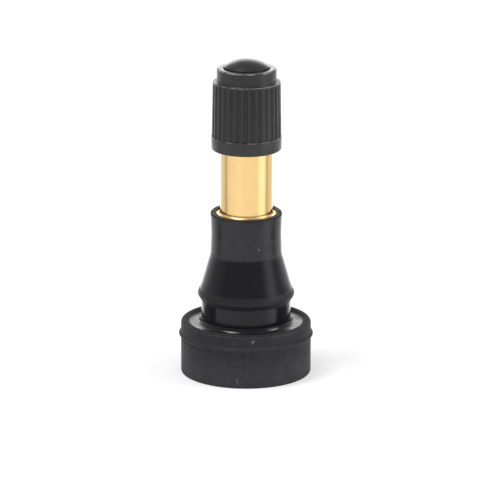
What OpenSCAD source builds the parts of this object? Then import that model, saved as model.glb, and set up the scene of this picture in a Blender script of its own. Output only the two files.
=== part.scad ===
// Snap-in tyre valve: a rubber body bonded to a brass stem, with a valve core and a screw cap.
// Millimetres. The origin is the centre of the base's underside, and +Z runs up the stem to the cap.

/* [Base button] */
// Diameter of the button that lies inside the wheel rim
base_d = 19.1; // [17:0.1:21]
// Height of the button to the top of its sealing lip
base_h = 7.9; // [7.5:0.1:9]
// Radius of the button's lower edge
base_edge_r = 0.3; // [0.1:0.05:0.6]
// Height of the moulding ridge's crest
ridge_z = 5.8; // [4:0.05:6]
// Height of the moulding ridge from foot to foot
ridge_h = 0.8; // [0.5:0.05:2.2]
// How far the moulding ridge stands out
ridge_out = 0.34; // [0.1:0.02:0.6]
// Radius of the moulding ridge's crest
ridge_edge_r = 0.12; // [0.05:0.01:0.6]
// Width of the sealing lip round the button's top
lip_w = 1.05; // [0.8:0.05:1.4]
// Radius of the sealing lip's outer edge
lip_edge_r = 0.33; // [0.1:0.01:0.5]
// Depth of the dished sealing face below the lip
dish_depth = 0.45; // [0.3:0.05:0.7]
// Width of the slope from the lip down to the sealing face
dish_slope_w = 0.3; // [0.1:0.05:0.8]
// Diameter of the air hole through the button
air_hole_d = 3.2; // [2.6:0.1:3.6]
// Width of the countersink at the air hole's mouth
air_sink = 0.9; // [0.3:0.1:1.5]

/* [Rim groove and bulb] */
// Diameter of the groove that the rim's hole grips
groove_d = 13.1; // [12:0.1:13.5]
// Height of the groove above the sealing face
groove_h = 3.45; // [3:0.05:4.5]
// Radius of the fillet at the groove's foot
groove_fillet = 0.5; // [0.2:0.05:0.8]
// Diameter of the snap-in bulb at its crest
bulb_d = 14.3; // [13.8:0.05:15]
// Height of the bulb's sloping underside
bulb_under_h = 1; // [0.6:0.05:1.6]
// Radius of the bulb's crest
bulb_edge_r = 0.6; // [0.3:0.05:1.2]
// Height of the bulb's shoulder above its crest
shoulder_h = 1.8; // [1.2:0.05:2.4]
// Diameter at the foot of the cone above the bulb
cone_d = 12.95; // [12:0.05:13.4]
// Height of the cone
cone_h = 4.3; // [3.5:0.1:6]

/* [Neck] */
// Diameter of the neck at the cone's top
neck_d = 10.48; // [10:0.02:11]
// Height of the neck
neck_h = 6.1; // [5:0.05:9]
// How far the neck draws in at its waist
neck_waist = 0.13; // [0:0.01:0.2]
// Radius of the curve at the neck's waist
neck_waist_r = 8; // [2:0.5:20]
// Radius of the curve from the cone into the neck
neck_foot_r = 3.5; // [0.5:0.5:8]
// Radius of the neck's top edge
neck_edge_r = 0.22; // [0.1:0.02:0.4]

/* [Brass stem] */
// Diameter of the barrel, which is the tyre valve thread's outside
stem_d = 7.7; // [7.5:0.05:7.9]
// Length of the stem above the rubber
stem_out_len = 19.7; // [18:0.1:24]
// Length of the stem inside the rubber
stem_sunk_len = 16; // [14:0.1:17]
// Diameter of the collar at the rubber's top
collar_d = 8.8; // [8.6:0.05:9.6]
// Height of the collar inside the rubber
collar_h = 3; // [2:0.1:4]
// Depth of the collar's top below the rubber's lip
collar_drop = 0.06; // [0.05:0.01:0.3]
// Radius of the fillet from the collar up to the barrel
collar_fillet = 0.46; // [0.1:0.02:0.5]
// Chamfer round the stem's mouth
stem_chamfer = 0.4; // [0.2:0.05:0.6]
// Diameter of the shank inside the rubber
shank_d = 7; // [6.4:0.05:7.4]
// Number of keying rings on the shank
key_count = 3; // [1:1:3]
// Height of a keying ring
key_h = 1.2; // [0.8:0.05:1.5]
// How far a keying ring stands out
key_out = 0.4; // [0.2:0.05:0.6]
// Diameter of the foot flange
foot_d = 9.4; // [8.4:0.1:10]
// Thickness of the foot flange
foot_h = 1.4; // [1:0.1:2]
// Diameter of the air passage through the shank
passage_d = 3; // [2.4:0.1:3.4]

/* [Core chamber] */
// Diameter of the core thread's bore
core_bore_d = 5.2; // [5:0.05:5.4]
// Depth of the core thread below the mouth
core_thread_len = 8.8; // [8.6:0.1:9.2]
// Chamfer inside the stem's mouth
mouth_chamfer = 0.3; // [0.1:0.05:0.4]
// Diameter at the top of the conical seat
seat_d = 4.9; // [4.7:0.05:5]
// Height of the conical seat
seat_h = 3.2; // [2.8:0.1:4]
// Diameter of the chamber under the seat
chamber_d = 4; // [3.8:0.05:4.2]
// Room under the pressed pin down to the chamber's floor
chamber_room = 0.7; // [0.4:0.1:2]

/* [Valve core] */
// Room left between the pressed pin's head and the bridge
bridge_room = 0.1; // [0.05:0.05:0.5]
// Thickness of the bridge
bridge_t = 0.9; // [0.6:0.05:1.2]
// Width of the bridge between its two flats
bridge_w = 2; // [1.6:0.05:2.4]
// Span of the bridge
bridge_span = 4.7; // [4.4:0.05:4.9]
// Height of the air windows under the bridge
window_h = 0.9; // [0.6:0.05:1.2]
// Length of the plug's threaded ring
plug_len = 3.7; // [3.4:0.05:4]
// Diameter of the plug's bore
plug_bore_d = 3.5; // [3.4:0.05:3.7]
// Thickness of the lip that holds the barrel in the plug
crimp_t = 0.4; // [0.3:0.02:0.5]
// Outside diameter of the barrel
barrel_d = 3.4; // [3.3:0.02:3.5]
// Diameter of the barrel's bore
barrel_bore_d = 2.3; // [2.2:0.02:2.4]
// Diameter of the barrel's neck in the plug
barrel_neck_d = 2.9; // [2.8:0.02:3]
// Thickness of the barrel's flange inside the plug
barrel_flange_t = 0.5; // [0.3:0.05:0.7]
// Length of the barrel below the plug
barrel_len = 8.2; // [8:0.1:8.6]
// Diameter of the shoulder above the washer
washer_shoulder_d = 3.9; // [3.7:0.05:4.1]
// Thickness of the shoulder above the washer
washer_shoulder_t = 0.4; // [0.3:0.05:0.6]
// Depth of the washer's top below the plug
washer_drop = 1.7; // [1.5:0.05:1.9]
// Height of the tapered washer
washer_h = 1.8; // [1.4:0.05:2]
// Inside diameter of the tapered washer
washer_bore_d = 3; // [2.9:0.05:3.1]
// Thickness of the ledge at the barrel's lower end
ledge_t = 0.6; // [0.4:0.05:0.8]
// Diameter of the air hole through the ledge
ledge_hole_d = 1.6; // [1.5:0.05:1.7]

/* [Pin and spring] */
// Diameter of the pin
pin_d = 1; // [0.9:0.02:1.1]
// Diameter of the pin's head
pin_head_d = 2; // [1.6:0.1:2.4]
// Thickness of the pin's head
pin_head_t = 0.8; // [0.5:0.05:0.9]
// Depth of the pin's head below the mouth
pin_head_depth = 0.3; // [0.1:0.05:0.3]
// How far the pin is pressed to open the valve fully
pin_travel = 1.5; // [1:0.1:1.5]
// Diameter of the pin's collar over the spring
pin_collar_d = 2; // [1.9:0.02:2.1]
// Thickness of the pin's collar
pin_collar_t = 0.4; // [0.3:0.05:0.6]
// Length of the spring at rest
spring_len = 5.9; // [5.5:0.1:6.2]
// Diameter of the spring's wire
wire_d = 0.3; // [0.24:0.01:0.32]
// Number of turns of the spring
spring_turns = 8; // [6:1:9]
// Diameter of the cup
cup_d = 3.2; // [3.1:0.02:3.3]
// Thickness of the cup's floor
cup_floor_t = 0.6; // [0.4:0.05:0.8]
// Thickness of the cup's wall
cup_wall = 0.2; // [0.15:0.01:0.25]
// Thickness of the cup's washer
cup_washer_t = 0.9; // [0.7:0.05:1]
// How far the cup's washer stands above the cup's wall
cup_washer_out = 0.25; // [0.15:0.01:0.4]
// Diameter of the rivet head under the cup
rivet_d = 1.6; // [1.4:0.05:2]
// Thickness of the rivet head under the cup
rivet_t = 0.4; // [0.3:0.05:0.5]

/* [Cap] */
// Length of the cap below the stem's mouth
cap_skirt = 10.2; // [9:0.1:11]
// Diameter of the band round the cap's foot
band_d = 10.24; // [10:0.02:10.8]
// Height of the band
band_h = 2.05; // [1.2:0.05:2.5]
// Radius of the band's lower edge
band_edge_r = 0.35; // [0.1:0.05:0.5]
// Radius of the band's upper edge
ledge_edge_r = 0.12; // [0.05:0.01:0.3]
// Diameter over the ribs at the band
rib_d = 10.12; // [9.8:0.02:10.24]
// How much narrower the ribs are at their top
rib_draft = 0.26; // [0:0.02:0.4]
// Number of ribs
rib_count = 30; // [20:2:36]
// Width of a rib
rib_w = 0.34; // [0.24:0.02:0.5]
// Depth of the valleys between the ribs
rib_depth = 0.2; // [0.1:0.02:0.3]
// Turn of the first rib from the front
rib_turn = 4; // [0:1:12]
// Diameter of the smooth collar at the cap's top
cap_collar_d = 8.7; // [8.6:0.02:9]
// Height of the smooth collar
cap_collar_h = 2; // [1.5:0.05:2.2]
// Radius of the smooth collar's top edge
cap_collar_edge_r = 0.15; // [0.1:0.05:0.5]
// Diameter of the opening in the cap's top
opening_d = 6.8; // [6.4:0.05:7]
// Radius of the opening's top edge
opening_edge_r = 0.12; // [0.08:0.01:0.4]
// Thickness of the cap's lip round the opening
cap_lip_t = 1; // [0.6:0.05:1.2]
// Diameter of the seat that the seal's flange fits in
seal_seat_d = 7.6; // [7.4:0.05:7.7]
// Chamfer at the mouth of the cap's thread
cap_entry = 0.35; // [0.1:0.05:0.5]

/* [Cap seal] */
// Thickness of the seal's flange
seal_flange_t = 0.9; // [0.7:0.05:1.1]
// Gap between the dome and the cap's opening
dome_gap = 0.15; // [0.08:0.01:0.3]
// Height of the seal's straight wall above the cap's lip
dome_wall = 0.2; // [0.1:0.05:0.8]
// Height of the dome above its straight wall
dome_rise = 1.15; // [0.8:0.05:2]
// Diameter of the hollow under the seal
hollow_d = 5.2; // [4.6:0.1:5.8]
// Depth of the hollow under the seal
hollow_h = 1.3; // [0.8:0.05:1.6]

/* [Clearances] */
// Gap between the cap's thread bore and the stem, on each side
cap_clear = 0.1; // [0.05:0.01:0.15]
// Gap between the cap's shell and its seal
seal_clear = 0.05; // [0.02:0.01:0.1]
// Gap between the plug and the core thread's bore, on each side
thread_clear = 0.05; // [0.02:0.01:0.1]
// Gap round and under pieces that seat on each other in the core
seat_clear = 0.02; // [0.01:0.01:0.04]
// Gap round the pin where it slides through the bridge, on each side
pin_clear = 0.1; // [0.05:0.01:0.15]
// Gap between the spring and the barrel's bore, on each side
spring_clear = 0.1; // [0.05:0.01:0.15]

/* [Hidden] */

// Colours of the finishes
rubber_black = "#313136";
brass_yellow = "#dcb565";
cap_charcoal = "#3d3c3d";
seal_black = "#343334";
core_brass = "#c9a258";
washer_red = "#8a3a30";
washer_black = "#262626";
spring_steel = "#b9bcc0";

// Smoothness of curves: faces round a turn, steps in a rounded corner, steps up the dome
$fn = 96;
corner_steps = 6;
dome_steps = 12;
// Largest share of an edge that a rounded corner may take
corner_share = 0.5;
// How far a shape that is joined to another reaches into it
join = 0.2;

// Heights up the rubber body
dish_z = base_h - dish_depth;
bulb_z = dish_z + groove_h;
crest_z = bulb_z + bulb_under_h;
cone_z = crest_z + shoulder_h;
neck_z = cone_z + cone_h;
neck_top_z = neck_z + neck_h;

// Heights up the stem
mouth_z = neck_top_z + stem_out_len;
foot_z = neck_top_z - stem_sunk_len;
shank_z = foot_z + foot_h + (foot_d - shank_d) / 2;
collar_top_z = neck_top_z - collar_drop;
collar_foot_z = collar_top_z - collar_h;
shank_top_z = collar_foot_z - (collar_d - shank_d) / 2;
key_pitch = (shank_top_z - shank_z) / key_count;
seat_top_z = mouth_z - core_thread_len - (core_bore_d - seat_d) / 2;
seat_low_z = seat_top_z - seat_h;

// Heights down the core
pin_head_z = mouth_z - pin_head_depth;
bridge_z = pin_head_z - pin_head_t - pin_travel - bridge_room;
window_top_z = bridge_z - bridge_t;
ring_z = window_top_z - window_h;
plug_z = ring_z - plug_len;
barrel_top_z = plug_z - seat_clear;
barrel_z = barrel_top_z - barrel_len;
washer_z = barrel_top_z - washer_drop;
ledge_z = barrel_z + ledge_t;
spring_top_z = ledge_z + spring_len;
cup_washer_z = barrel_z - cup_washer_t;
cup_z = cup_washer_z - cup_floor_t;
pin_low_z = cup_z - rivet_t;
chamber_z = pin_low_z - pin_travel - chamber_room;

// Heights up the cap
cap_z = mouth_z - cap_skirt;
band_top_z = cap_z + band_h;
cap_lip_z = mouth_z + seal_flange_t + seal_clear;
cap_top_z = cap_lip_z + cap_lip_t;
cap_shoulder_z = cap_top_z - cap_collar_h;

// Radii that follow from the fits
cap_bore_r = stem_d / 2 + cap_clear;
dome_r = opening_d / 2 - dome_gap;
plug_r = core_bore_d / 2 - thread_clear;
pin_hole_r = pin_d / 2 + pin_clear;
coil_r = barrel_bore_d / 2 - spring_clear - wire_d / 2;

function unit(v) = v / norm(v);
function flat(p) = [p[0], p[1]];
function reversed(path) = [for (i = [len(path) - 1:-1:0]) path[i]];

// The arc that rounds one corner of an outline, or the corner itself where its radius is nothing
function corner(before, at, after) =
    at[2] == undef || at[2] == 0
        ? [flat(at)]
        : let (
            to_before = flat(before) - flat(at),
            to_after = flat(after) - flat(at),
            u = unit(to_before),
            v = unit(to_after),
            half = acos(u * v) / 2,
            room = corner_share * min(norm(to_before), norm(to_after)),
            r = min(at[2], room * tan(half)),
            centre = flat(at) + unit(u + v) * r / sin(half),
            start = flat(at) + u * r / tan(half) - centre,
            start_angle = atan2(start[1], start[0]),
            turn = sign(cross(v, u)) * (180 - 2 * half)
        )
        [for (i = [0:corner_steps])
            centre + r * [
                cos(start_angle + turn * i / corner_steps),
                sin(start_angle + turn * i / corner_steps),
            ]];

// An outline of [radius, height, corner radius] points with its corners rounded
function rounded(path) =
    let (n = len(path))
    [for (i = [0:n - 1]) each corner(path[(i + n - 1) % n], path[i], path[(i + 1) % n])];

module turned(path) {
    rotate_extrude()
        polygon(rounded(path));
}

// The stem's outside where rubber is bonded to it, from the foot up to the collar's top
stem_skin = concat(
    [
        [foot_d / 2, foot_z],
        [foot_d / 2, foot_z + foot_h],
        [shank_d / 2, shank_z],
    ],
    [for (i = [0:key_count - 1])
        let (low = shank_z + (i + 0.5) * key_pitch - key_h / 2, out = shank_d / 2 + key_out)
        each [
            [shank_d / 2, low],
            [out, low + key_out / 2],
            [out, low + key_h - key_out / 2],
            [shank_d / 2, low + key_h],
        ]],
    [
        [shank_d / 2, shank_top_z],
        [collar_d / 2, collar_foot_z],
        [collar_d / 2, collar_top_z],
    ]
);

// The stem's conical seat, as a radius at a height
function seat_r(z) =
    chamber_d / 2 + (seat_d - chamber_d) / 2 * (z - seat_low_z) / (seat_top_z - seat_low_z);

module rubber_body() {
    base_r = base_d / 2;
    outside = [
        [air_hole_d / 2 + air_sink, 0],
        [base_r, 0, base_edge_r],
        [base_r, ridge_z - ridge_h / 2],
        [base_r + ridge_out, ridge_z, ridge_edge_r],
        [base_r, ridge_z + ridge_h / 2],
        [base_r, base_h, lip_edge_r],
        [base_r - lip_w, base_h, lip_edge_r],
        [base_r - lip_w - dish_slope_w, dish_z, lip_edge_r],
        [groove_d / 2, dish_z, groove_fillet],
        [groove_d / 2, bulb_z, groove_fillet],
        [bulb_d / 2, crest_z, bulb_edge_r],
        [cone_d / 2, cone_z, bulb_edge_r],
        [neck_d / 2, neck_z, neck_foot_r],
        [neck_d / 2 - neck_waist, neck_z + neck_h / 2, neck_waist_r],
        [neck_d / 2, neck_top_z, neck_edge_r],
        [collar_d / 2, neck_top_z, neck_edge_r],
    ];
    air_hole = [
        [air_hole_d / 2, foot_z],
        [air_hole_d / 2, air_sink],
    ];
    color(rubber_black)
        turned(concat(outside, reversed(stem_skin), air_hole));
}

module brass_stem() {
    barrel = [
        [stem_d / 2, collar_top_z, collar_fillet],
        [stem_d / 2, mouth_z - stem_chamfer],
        [stem_d / 2 - stem_chamfer, mouth_z],
    ];
    bore = [
        [core_bore_d / 2 + mouth_chamfer, mouth_z],
        [core_bore_d / 2, mouth_z - mouth_chamfer],
        [core_bore_d / 2, mouth_z - core_thread_len],
        [seat_d / 2, seat_top_z],
        [chamber_d / 2, seat_low_z],
        [chamber_d / 2, chamber_z],
        [passage_d / 2, chamber_z - (chamber_d - passage_d) / 2],
        [passage_d / 2, foot_z],
    ];
    color(brass_yellow)
        turned(concat(stem_skin, barrel, bore));
}

module cap_rib() {
    rib_angle = rib_w / rib_d * 2 * 180 / PI;
    crest_low = rib_d / 2;
    crest_top = (rib_d - rib_draft) / 2;
    rotate([0, 0, -rib_angle / 2])
        rotate_extrude(angle = rib_angle)
            polygon([
                [crest_low - rib_depth - join, band_top_z - join],
                [crest_low, band_top_z - join],
                [crest_top, cap_shoulder_z],
                [crest_top - rib_depth - join, cap_shoulder_z],
            ]);
}

module cap_shell() {
    valley_low = rib_d / 2 - rib_depth;
    valley_top = valley_low - rib_draft / 2;
    front = -90 + rib_turn;
    color(cap_charcoal)
        union() {
            turned([
                [cap_bore_r + cap_entry, cap_z],
                [band_d / 2, cap_z, band_edge_r],
                [band_d / 2, band_top_z, ledge_edge_r],
                [valley_low, band_top_z],
                [valley_top, cap_shoulder_z],
                [cap_collar_d / 2, cap_shoulder_z],
                [cap_collar_d / 2, cap_top_z, cap_collar_edge_r],
                [opening_d / 2, cap_top_z, opening_edge_r],
                [opening_d / 2, cap_lip_z],
                [seal_seat_d / 2, cap_lip_z],
                [seal_seat_d / 2, mouth_z],
                [cap_bore_r, mouth_z],
                [cap_bore_r, cap_z + cap_entry],
            ]);
            for (i = [0:rib_count - 1])
                rotate([0, 0, front + i * 360 / rib_count])
                    cap_rib();
        }
}

module cap_seal() {
    flange_r = seal_seat_d / 2 - seal_clear;
    flange_z = mouth_z + seal_flange_t;
    dome_radius = (dome_r * dome_r + dome_rise * dome_rise) / (2 * dome_rise);
    dome_half = asin(dome_r / dome_radius);
    dome_z = cap_top_z + dome_wall + dome_rise;
    dome = [for (i = [0:dome_steps])
        let (a = dome_half * (1 - i / dome_steps))
        [dome_radius * sin(a), dome_z - dome_radius * (1 - cos(a))]];
    color(seal_black)
        turned(concat(
            [
                [hollow_d / 2, mouth_z],
                [flange_r, mouth_z],
                [flange_r, flange_z],
                [dome_r, flange_z],
            ],
            dome,
            [
                [0, mouth_z + hollow_h],
                [hollow_d / 2, mouth_z + hollow_h, hollow_h / 3],
            ]
        ));
}

module core_plug() {
    crimp_r = barrel_neck_d / 2 + seat_clear;
    color(core_brass)
        difference() {
            union() {
                turned([
                    [crimp_r, plug_z],
                    [plug_r, plug_z],
                    [plug_r, ring_z],
                    [plug_bore_d / 2, ring_z],
                    [plug_bore_d / 2, plug_z + crimp_t],
                    [crimp_r, plug_z + crimp_t],
                ]);
                intersection() {
                    translate([0, 0, ring_z - join])
                        cylinder(d = bridge_span, h = bridge_z - ring_z + join);
                    translate([-bridge_span, -bridge_w / 2, ring_z - join])
                        cube([2 * bridge_span, bridge_w, bridge_z - ring_z + join]);
                }
            }
            translate([0, 0, ring_z - 2 * join])
                cylinder(d = plug_bore_d, h = window_h + 2 * join);
            translate([0, 0, ring_z])
                cylinder(r = pin_hole_r, h = bridge_z - ring_z + join);
        }
}

module core_barrel() {
    neck_r = barrel_neck_d / 2;
    flange_r = plug_bore_d / 2 - thread_clear;
    flange_z = plug_z + crimp_t + seat_clear;
    color(core_brass)
        turned([
            [ledge_hole_d / 2, barrel_z],
            [barrel_d / 2, barrel_z],
            [barrel_d / 2, washer_z - washer_h],
            [washer_bore_d / 2, washer_z - washer_h],
            [washer_bore_d / 2, washer_z],
            [washer_shoulder_d / 2, washer_z],
            [washer_shoulder_d / 2, washer_z + washer_shoulder_t],
            [barrel_d / 2, washer_z + washer_shoulder_t],
            [barrel_d / 2, barrel_top_z],
            [neck_r, barrel_top_z],
            [neck_r, flange_z],
            [flange_r, flange_z],
            [flange_r, flange_z + barrel_flange_t],
            [barrel_bore_d / 2, flange_z + barrel_flange_t],
            [barrel_bore_d / 2, ledge_z],
            [ledge_hole_d / 2, ledge_z],
        ]);
}

module core_barrel_washer() {
    inside_r = washer_bore_d / 2 + seat_clear;
    top_z = washer_z - seat_clear;
    low_z = washer_z - washer_h + seat_clear;
    color(washer_red)
        turned([
            [inside_r, low_z],
            [seat_r(low_z) - seat_clear, low_z],
            [seat_r(top_z) - seat_clear, top_z],
            [inside_r, top_z],
        ]);
}

module core_pin() {
    collar_z = spring_top_z + seat_clear;
    color(core_brass)
        turned([
            [0, pin_low_z],
            [rivet_d / 2, pin_low_z, rivet_t / 2],
            [rivet_d / 2, cup_z - seat_clear],
            [pin_d / 2, cup_z - seat_clear],
            [pin_d / 2, collar_z],
            [pin_collar_d / 2, collar_z],
            [pin_collar_d / 2, collar_z + pin_collar_t, pin_collar_t / 2],
            [pin_d / 2, collar_z + pin_collar_t],
            [pin_d / 2, pin_head_z - pin_head_t],
            [pin_head_d / 2, pin_head_z - pin_head_t],
            [pin_head_d / 2, pin_head_z, pin_head_t / 2],
            [0, pin_head_z],
        ]);
}

module core_cup() {
    hole_r = pin_d / 2 + seat_clear;
    wall_top_z = barrel_z - cup_washer_out;
    color(core_brass)
        turned([
            [hole_r, cup_z],
            [cup_d / 2, cup_z, cup_floor_t / 2],
            [cup_d / 2, wall_top_z],
            [cup_d / 2 - cup_wall, wall_top_z],
            [cup_d / 2 - cup_wall, cup_washer_z],
            [hole_r, cup_washer_z],
        ]);
}

module core_cup_washer() {
    hole_r = pin_d / 2 + seat_clear;
    outside_r = cup_d / 2 - cup_wall - seat_clear;
    color(washer_black)
        turned([
            [hole_r, cup_washer_z],
            [outside_r, cup_washer_z],
            [outside_r, barrel_z, cup_washer_out / 2],
            [hole_r, barrel_z],
        ]);
}

// Height of the spring's wire along its turns: the end turns lie closed, and the rest share the length
function wire_z(turn) =
    let (
        low = ledge_z + seat_clear + wire_d / 2,
        high = spring_top_z - wire_d / 2,
        open_rise = (high - low - 2 * wire_d) / (spring_turns - 2)
    )
    turn < 1
        ? low + turn * wire_d
        : turn > spring_turns - 1
            ? high - (spring_turns - turn) * wire_d
            : low + wire_d + (turn - 1) * open_rise;

module core_spring() {
    sides = 8;
    steps_per_turn = 16;
    steps = spring_turns * steps_per_turn;
    wire_r = wire_d / 2;
    points = [for (i = [0:steps], k = [0:sides - 1])
        let (
            along = 360 * i / steps_per_turn,
            round_wire = 360 * (k + 0.5) / sides,
            out = coil_r + wire_r * cos(round_wire)
        )
        [out * cos(along), out * sin(along), wire_z(i / steps_per_turn) + wire_r * sin(round_wire)]];
    skin = [for (i = [0:steps - 1], k = [0:sides - 1])
        let (next = (k + 1) % sides)
        [i * sides + k, (i + 1) * sides + k, (i + 1) * sides + next, i * sides + next]];
    first_end = [for (k = [0:sides - 1]) k];
    last_end = [for (k = [sides - 1:-1:0]) steps * sides + k];
    color(spring_steel)
        polyhedron(points, concat(skin, [first_end, last_end]));
}

rubber_body();
brass_stem();
cap_shell();
cap_seal();
core_plug();
core_barrel();
core_barrel_washer();
core_pin();
core_cup();
core_cup_washer();
core_spring();
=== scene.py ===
"""Dresses a snap-in tyre valve on its packed frame: moulded rubber, turned brass and a ribbed screw cap."""

import math

import bmesh
import bpy
from bpy.props import FloatProperty, FloatVectorProperty, IntProperty, PointerProperty
from mathutils import Matrix, Vector, noise


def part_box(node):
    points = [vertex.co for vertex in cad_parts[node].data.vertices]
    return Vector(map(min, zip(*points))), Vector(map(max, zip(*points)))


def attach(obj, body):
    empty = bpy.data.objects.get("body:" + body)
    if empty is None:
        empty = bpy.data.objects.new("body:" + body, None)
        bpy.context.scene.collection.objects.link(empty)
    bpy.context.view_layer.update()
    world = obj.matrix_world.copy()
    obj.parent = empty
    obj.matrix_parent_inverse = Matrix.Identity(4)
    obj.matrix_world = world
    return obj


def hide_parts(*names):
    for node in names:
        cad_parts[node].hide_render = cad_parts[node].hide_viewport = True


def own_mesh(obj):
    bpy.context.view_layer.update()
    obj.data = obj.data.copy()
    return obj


bl_info = {
    "name": "Tyre Valve",
    "version": (1, 0, 0),
    "blender": (4, 5, 0),
    "location": "View3D > Sidebar > Tyre Valve",
    "description": "Builds a snap-in tyre valve with its rubber body, brass stem, valve core and screw cap",
    "category": "Object",
}

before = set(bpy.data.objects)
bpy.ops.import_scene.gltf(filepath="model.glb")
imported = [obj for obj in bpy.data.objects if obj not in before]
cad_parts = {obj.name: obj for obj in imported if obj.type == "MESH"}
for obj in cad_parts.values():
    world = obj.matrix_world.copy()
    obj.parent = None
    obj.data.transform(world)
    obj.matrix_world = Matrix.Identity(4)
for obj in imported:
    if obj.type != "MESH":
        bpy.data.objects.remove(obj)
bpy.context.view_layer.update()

# Heights that the packed solids give
LIP_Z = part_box("rubber_body")[1].z
FOOT_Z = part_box("brass_stem")[0].z
MOUTH_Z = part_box("brass_stem")[1].z
CAP_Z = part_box("cap_shell")[0].z
CAP_TOP_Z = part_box("cap_shell")[1].z
DOME_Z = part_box("cap_seal")[1].z

MM = 0.001
# Steps round a turned piece, the cap, a turn of a thread, a turn of the spring and the spring's wire
TURN_STEPS = 192
CAP_STEPS = 480
THREAD_STEPS = 96
COIL_STEPS = 48
WIRE_STEPS = 12
# Steps round a corner, up the dome, down a valley's round end and round the dark spot on the floor
CORNER_STEPS = 8
DOME_STEPS = 24
VALLEY_STEPS = 8
SPOT_STEPS = 64
# Largest share of an edge that a rounded corner may take
CORNER_SHARE = 0.5
# Vertices closer than this are one, and so are those where a thread's turns meet
WELD = 1e-7
THREAD_WELD = 1e-5
# Angle past which an edge is shaded sharp, and the wider one of the cap, whose rib walls are soft
SHARP_ANGLE = math.radians(40.0)
CAP_SHARP_ANGLE = math.radians(55.0)
# Slope of a thread's sides, and the share of its run-out that is bridged to the plain wall
THREAD_HALF_ANGLE = math.radians(30.0)
JOINT_SHARE = 1 / 16

# Waves and teeth round the ragged flash, how far it reaches to the front, and how uneven it is
FLASH_WAVES = 6.0
FLASH_TEETH = 19.0
FLASH_TEETH_SHARE = 0.4
FLASH_FRONT = 0.6
FLASH_LEVEL = 0.8
FLASH_SWING = 0.4
FLASH_STRAY = 0.1

# Half the width of the soft edge between two finishes of the rubber, and how far that edge wanders
ZONE_SOFT = 0.15 * MM
ZONE_WOBBLE = 0.05 * MM
# Width of the pale strip painted along the cap's edges as a highlight, broken into patches
EDGE_STRIP = 0.1 * MM
# Range in which most noise lies, and the ranges that pick out a single pattern
NOISE_RANGE = (0.3, 0.7)
MIST_RANGE = (0.35, 0.65)
CLOUD_RANGE = (0.3, 0.75)
SPECK_RANGE = (0.7, 0.84)
# Range of the noise that breaks the painted highlight on the cap's edges into patches
HIGHLIGHT_BREAK_RANGE = (0.38, 0.56)
# Detail of most noise, of the plainest and of the turning lines
NOISE_DETAIL = 3.0
PLAIN_DETAIL = 2.0
LINE_DETAIL = 4.0
# Features to the metre in each noise
SMUDGES = 420.0
MOTTLE = 1400.0
SPECKS = 2600.0
RUBBER_GRAIN = 4200.0
TARNISH = 300.0
TURNING_LINES = 9000.0
PATCHES = 500.0
# Noise that breaks the painted highlight on the cap's edges into patches
HIGHLIGHT_BREAKS = 700.0
PLASTIC_GRAIN = 7000.0
BLOOM = 600.0
SEAL_GRAIN = 6000.0
STAINS = 900.0
CORE_GRAIN = 9000.0
# Roughness, or what is added to it, along each pattern
UNEVEN_ROUGHNESS = (-0.04, 0.04)
MIST_ROUGHNESS = (0.1, 0.17)
BRASS_ROUGHNESS = (0.13, 0.19)
BRASS_FOOT_ROUGHNESS = 0.2
PLASTIC_ROUGHNESS = (0.3, 0.4)
RING_GLOSS = 0.14
BLOOM_ROUGHNESS = (-0.04, 0.05)
STAIN_ROUGHNESS = 0.1
# Largest share of the second colour where a pattern mixes two
CLOUD_SHARE = 0.3
MOTTLE_SHARE = 0.2
# Painted light: share of the dust colour at the base's foot, for the light that the floor throws back onto
# it
FOOT_LIGHT_SHARE = 0.16
SPECK_SHARE = 0.25
PATCH_SHARE = 0.3
# Tones of a colour where it is tarnished, bloomed or stained
TARNISH_TONES = (0.95, 0.92, 0.84)
BLOOM_TONES = (0.85, 1.2)
STAIN_TONE = 0.82
# Places and sizes of the pale scuffs on the rubber, in metres
SCUFFS = (
    ((0.00185, -0.00488, 0.0197), 0.00022),
    ((0.00096, -0.0095, 0.0071), 0.00028),
    ((0.00118, -0.00947, 0.0073), 0.0002),
    ((-0.00126, -0.00947, 0.00125), 0.00026),
    ((-0.0012, -0.00947, 0.0009), 0.00018),
)
# How far a scuff's edge frays and how much of it is wholly pale, as shares of its size
SCUFF_FRAY = 0.5
SCUFF_HEART = 0.2

# Brightness of the studio low down and higher up, by degrees from the front towards the right
LOW_RING = (
    (-180, 1.8), (-156, 1.7), (-142, 0.9), (-112, 0.85), (-105, 0.6), (-96, 0.55), (-89, 0.98),
    (-60, 1.04), (-30, 1.1), (0, 1.04), (52, 1.02), (60, 1.45), (84, 1.45), (92, 1.0), (98, 0.65),
    (105, 0.6), (112, 0.85), (145, 0.9), (158, 1.7), (180, 1.8),
)
HIGH_RING = (
    (-180, 2.6), (-164, 2.4), (-154, 0.7), (-104, 0.55), (-85, 0.5), (-60, 0.36), (46, 0.34), (60, 1.2),
    (68, 1.6), (78, 1.4), (90, 0.5), (102, 0.4), (154, 0.7), (164, 2.4), (180, 2.6),
)
# Heights in the studio, as sines, over which the high ring takes over and then the light overhead
HIGH_RING_RANGE = (-0.06, 0.1)
OVERHEAD_RANGE = (0.38, 0.68)
OVERHEAD_LIGHT = 0.5


def length(name, description, millimetres):
    """A length that a user can set, written in millimetres and kept in metres."""
    return FloatProperty(
        name=name, description=description, default=millimetres * MM, unit="LENGTH", precision=5
    )


def colour(name, description, default):
    """A colour that a user can set, in linear red, green and blue."""
    return FloatVectorProperty(
        name=name, description=description, default=default, subtype="COLOR", size=3, min=0.0, max=1.0
    )


def share(name, description, default):
    """A share from 0 to 1 that a user can set."""
    return FloatProperty(
        name=name, description=description, default=default, subtype="FACTOR", min=0.0, max=1.0
    )


def turning(name, description, degrees):
    """An angle that a user can set, written in degrees and kept in radians."""
    return FloatProperty(
        name=name, description=description, default=math.radians(degrees), subtype="ANGLE"
    )


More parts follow.
